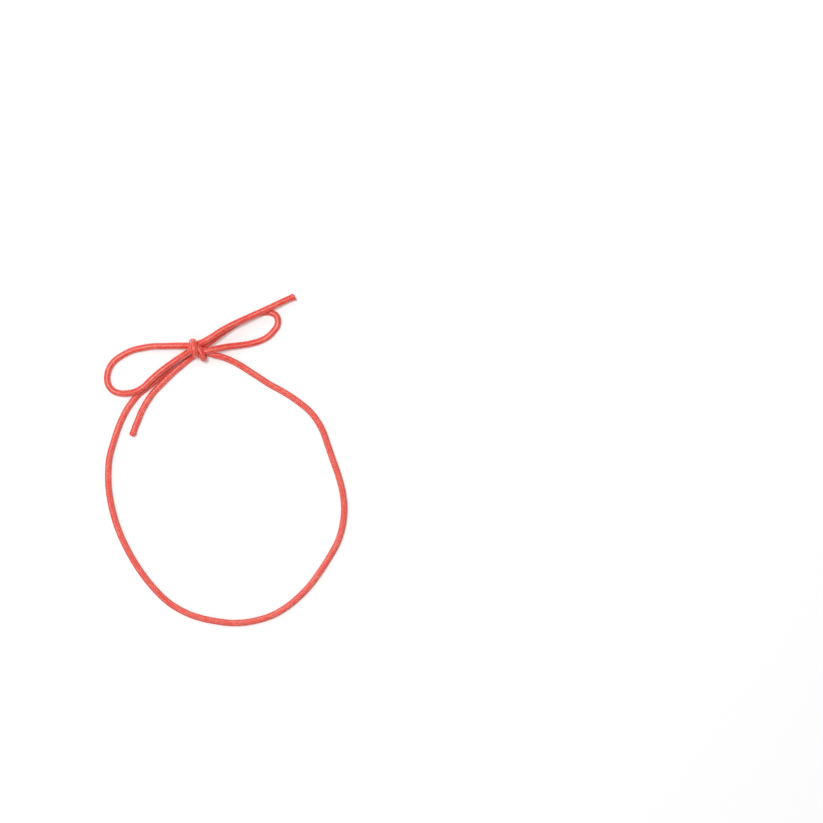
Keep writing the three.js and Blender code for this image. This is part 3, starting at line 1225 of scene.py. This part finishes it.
@dataclass(frozen=True)
class Fuzz:
    """Single fibres that stand off the cover."""

    per_square_metre: float = 160000.0
    length: float = 0.00055
    thickness: float = 0.000014
    tip: float = 0.3
    bow: float = 0.7
    lean: float = 1.25
    turn: float = 6.28
    size_shares: tuple = (0.4, 1.0)
    least_upward: float = -0.15

    def grow(self, cord: bpy.types.Object, seed: int, material: bpy.types.Material) -> bpy.types.Object:
        """Scatter fibres over the upper side of a piece of cord.

        Args:
            cord: the piece of cord.
            seed: the seed of their places.
            material: the loose yarn.

        Returns:
            The fibres of that piece.
        """
        sheet = GeometrySheet(cord.name.replace("_cord", "_fibres"), {
            "Density": self.per_square_metre, "Seed": seed, "Length": self.length,
            "Thickness": self.thickness})
        length, thickness = sheet.given("Length"), sheet.given("Thickness")
        above = sheet.node("FunctionNodeCompare", {"operation": "GREATER_THAN"}, {
            0: sheet.parts(sheet.node("GeometryNodeInputNormal"))[2], 1: self.least_upward})
        spots = sheet.node("GeometryNodeDistributePointsOnFaces", {"distribute_method": "RANDOM"}, {
            "Mesh": sheet.start, "Selection": above, "Density": sheet.given("Density"),
            "Seed": sheet.given("Seed")})
        hair = sheet.node("GeometryNodeMeshCone", {}, {
            "Vertices": 4, "Side Segments": 5, "Radius Top": thickness * self.tip,
            "Radius Bottom": thickness, "Depth": length})
        rise = sheet.parts(sheet.node("GeometryNodeInputPosition"))[2] / length
        bent = sheet.node("GeometryNodeSetPosition", {}, {
            "Geometry": hair, "Offset": sheet.vector(rise * rise * length * self.bow)})
        turn = sheet.vector(sheet.random(-self.lean, self.lean, 1), sheet.random(-self.lean, self.lean, 2),
                            sheet.random(0.0, self.turn, 3))
        tilted = sheet.node("FunctionNodeRotateRotation", {"rotation_space": "LOCAL"}, {
            "Rotation": spots.outputs["Rotation"],
            "Rotate By": sheet.node("FunctionNodeEulerToRotation", {}, {"Euler": turn})})
        copies = sheet.node("GeometryNodeInstanceOnPoints", {}, {
            "Points": spots, "Instance": bent, "Rotation": tilted,
            "Scale": sheet.random(*self.size_shares, 4)})
        return sheet.grow(copies, material, cord.data)


@dataclass(frozen=True)
class Bend:
    """Where a piece bends between two bodies: it follows one before start, and the other after end."""

    near_body: str
    far_body: str
    start: Point
    end: Point

    def apply(self, piece: bpy.types.Object) -> None:
        """Blend a piece across the joint."""
        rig.blend(piece, self.near_body, self.far_body, start=self.start, end=self.end)


# The sub-assemblies


@dataclass
class SubAssembly:
    """What the big loop, the bow and the knot are made from."""

    surface: CordSurface
    finishes: Finishes

    def strand(self, name: str, first: Stretch, last: Stretch, bend: Bend, seed: int,
               cut: CutEnd | None = None) -> list[bpy.types.Object]:
        """Make a strand that hangs free of the knot, with its fibres and what its cut end shows.

        Args:
            name: the name of its cord.
            first: its first stretch.
            last: its last stretch.
            bend: where it bends.
            seed: the seed of its fibres.
            cut: the shape of its cut end, if it has one.

        Returns:
            The cord and what is on it.
        """
        cord = CordPiece(name, self.surface, first, last, cut)
        piece = cord.build(self.finishes.cover)
        on_it = [Fuzz().grow(piece, seed, self.finishes.yarn)]
        if cut:
            on_it += CutFace().build(cord, self.finishes)
        cord.declare(piece, on_it)
        cord.stand_in(piece)
        for item in [piece, *on_it]:
            bend.apply(item)
        return [piece, *on_it]


@dataclass
class BigLoop(SubAssembly):
    """The big loop: the rest of the cord, which goes round a package."""

    bend: Bend = Bend("knot", "far_bend", (0.0, 0.022, 0.0), (0.0, -0.038, 0.0))

    def build(self) -> list[bpy.types.Object]:
        """Make the loop as one piece from the knot and back to it."""
        return self.strand("loop_cord", Stretch.LOOP_LEFT_SIDE, Stretch.LOOP_RIGHT_SIDE, self.bend, seed=1)


@dataclass
class Bow(SubAssembly):
    """The two bow loops and the two tails."""

    left_bend: Bend = Bend("knot", "left_bow", (-0.0114, 0.0351, 0.0), (-0.0166, 0.0334, 0.0))
    right_bow_bend: Bend = Bend("knot", "right_bow", (-0.0059, 0.0347, 0.0), (-0.0011, 0.0367, 0.0))
    right_tail_bend: Bend = Bend("knot", "right_tail", (-0.0059, 0.0347, 0.0), (-0.0011, 0.0367, 0.0))
    left_tail_bend: Bend = Bend("knot", "left_tail", (-0.0119, 0.0307, 0.0), (-0.0154, 0.0280, 0.0))
    right_cut: CutEnd = CutEnd(sign=-1, flare=0.13, flare_length=0.0014, lobes=0.05,
                               reach=0.00009, slant=0.0002, reach_at_sides=0.0001)
    left_cut: CutEnd = CutEnd(sign=1, flare=0.09, flare_length=0.0012, lobes=0.04,
                              reach=0.00027, slant=0.00017, reach_at_sides=-0.00026)

    def build(self) -> list[bpy.types.Object]:
        """Make the bow loops and the tails.

        Returns:
            The pieces.
        """
        return [
            *self.strand("left_bow_cord", Stretch.LEFT_BOW, Stretch.LEFT_BOW, self.left_bend, seed=2),
            *self.strand("right_bow_cord", Stretch.RIGHT_BOW, Stretch.RIGHT_BOW,
                         self.right_bow_bend, seed=3),
            *self.strand("right_tail_cord", Stretch.RIGHT_TAIL, Stretch.UPPER_PASS,
                         self.right_tail_bend, seed=4, cut=self.right_cut),
            *self.strand("left_tail_cord", Stretch.LOWER_PASS, Stretch.LEFT_TAIL,
                         self.left_tail_bend, seed=5, cut=self.left_cut)]


@dataclass
class Knot(SubAssembly):
    """The two wraps that hold the bow together."""

    first_seed: int = 6

    def build(self) -> list[bpy.types.Object]:
        """Make the wraps with their fibres.

        Returns:
            The pieces.
        """
        pieces = []
        for side, stretch in (("left", Stretch.LEFT_WRAP), ("right", Stretch.RIGHT_WRAP)):
            cord = CordPiece(f"{side}_wrap_cord", self.surface, stretch, stretch)
            piece = cord.build(self.finishes.cover)
            cord.stand_in(piece)
            pieces += [piece, Fuzz().grow(piece, self.first_seed + len(pieces), self.finishes.yarn)]
        for piece in pieces:
            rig.ride(piece, "knot")
        return pieces


# The surroundings


@dataclass(frozen=True)
class Lamp:
    """A soft square lamp that faces the object."""

    name: str
    place: Point
    size: float
    watts: float

    def hang(self) -> None:
        """Put the lamp in the scene."""
        light = bpy.data.lights.new(self.name, "AREA")
        light.size = self.size
        light.energy = self.watts
        seat = bpy.data.objects.new(self.name, light)
        seat.location = self.place
        seat.rotation_mode = "QUATERNION"
        seat.rotation_quaternion = (-Vector(self.place)).to_track_quat("-Z", "Y")
        bpy.context.scene.collection.objects.link(seat)


@dataclass(frozen=True)
class Studio:
    """The camera straight above, the white surface and the lamps."""

    image_pixels: float = 823
    metres_per_pixel: float = 0.0003125
    origin_pixel: tuple = (225.8, 459.8)
    camera_height: float = 1.0
    camera_range: tuple = (0.01, 10.0)
    sensor: float = 36.0
    floor_size: float = 1.2
    floor_colour: tuple = linear(236, 236, 236)
    floor_roughness: float = 0.9
    floor_lift: float = 0.2
    world_light: float = 0.38
    lamps: tuple[Lamp, ...] = (
        Lamp("key", (-0.45, 0.4, 0.7), 0.6, 1.2), Lamp("crest", (-0.17, 0.17, 1.22), 0.24, 8.8))

    def build_camera(self) -> None:
        """Set the camera above the middle of the picture, and show colours as they are written."""
        half = self.image_pixels / 2
        camera = bpy.data.cameras.new("camera")
        camera.sensor_width = self.sensor
        camera.lens = self.sensor * self.camera_height / (self.image_pixels * self.metres_per_pixel)
        camera.clip_start, camera.clip_end = self.camera_range
        seat = bpy.data.objects.new("camera", camera)
        seat.location = ((half - self.origin_pixel[0]) * self.metres_per_pixel,
                         (self.origin_pixel[1] - half) * self.metres_per_pixel, self.camera_height)
        bpy.context.scene.collection.objects.link(seat)
        bpy.context.scene.camera = seat
        bpy.context.scene.view_settings.view_transform = "Standard"

    def build_floor(self) -> None:
        """Lay the white surface, which is lifted to white for the camera and in reflections."""
        half = self.floor_size / 2
        mesh = bpy.data.meshes.new("floor")
        corners = [(-half, -half, 0.0), (half, -half, 0.0), (half, half, 0.0), (-half, half, 0.0)]
        mesh.from_pydata(corners, [], [(0, 1, 2, 3)])
        sheet = MaterialSheet("floor")
        sheet.feed(sheet.shader, {
            "Base Color": self.floor_colour, "Roughness": self.floor_roughness, "Specular IOR Level": 0.0})
        path = sheet.node("ShaderNodeLightPath")
        seen = sheet.value(path.outputs["Is Camera Ray"]) + sheet.value(path.outputs["Is Glossy Ray"])
        glow = sheet.node("ShaderNodeEmission", {}, {"Color": WHITE, "Strength": seen * self.floor_lift})
        both = sheet.node("ShaderNodeAddShader", {}, {0: sheet.shader, 1: glow})
        sheet.feed(sheet.tree.nodes["Material Output"], {"Surface": both})
        mesh.materials.append(sheet.material)
        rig.stage(new_piece("floor", mesh))

    def build_lights(self) -> None:
        """Hang the lamps, and light the world evenly, which is white for the camera."""
        for lamp in self.lamps:
            lamp.hang()
        world = bpy.data.worlds.new("world")
        world.use_nodes = True
        sheet = NodeSheet(world.node_tree)
        seen = sheet.value(sheet.node("ShaderNodeLightPath").outputs["Is Camera Ray"])
        sheet.feed(sheet.tree.nodes["Background"], {
            "Color": WHITE, "Strength": seen * (1.0 - self.world_light) + self.world_light})
        bpy.context.scene.world = world


def write_sizes() -> None:
    """Write the CAD box and the visual model's box."""
    boxes = {name: [list(corner) for corner in box]
             for name, box in (("cad", CAD_BOX), ("visual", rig.bounds()))}
    with open(SIZE_FILE, "w") as file:
        json.dump(boxes, file)


def main() -> None:
    """Build the camera, the big loop, the bow, the knot and the surroundings, in that order."""
    logging.basicConfig(level=logging.INFO, format="%(name)s: %(message)s")
    studio = Studio()
    studio.build_camera()
    surface = CordSurface(CordSizes())
    finishes = Finishes(CoverFinish(surface.sizes.braid).material(), LOOSE_YARN.material(),
                        RUBBER.material())
    for part in (BigLoop(surface, finishes), Bow(surface, finishes), Knot(surface, finishes)):
        for piece in part.build():
            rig.slot(piece, "rubber_core" if piece.name.endswith("threads") else "woven_cover")
            LOG.info("%s: %d faces", piece.name, len(piece.data.polygons))
    studio.build_floor()
    studio.build_lights()
    write_sizes()


if __name__ == "__main__":
    main()
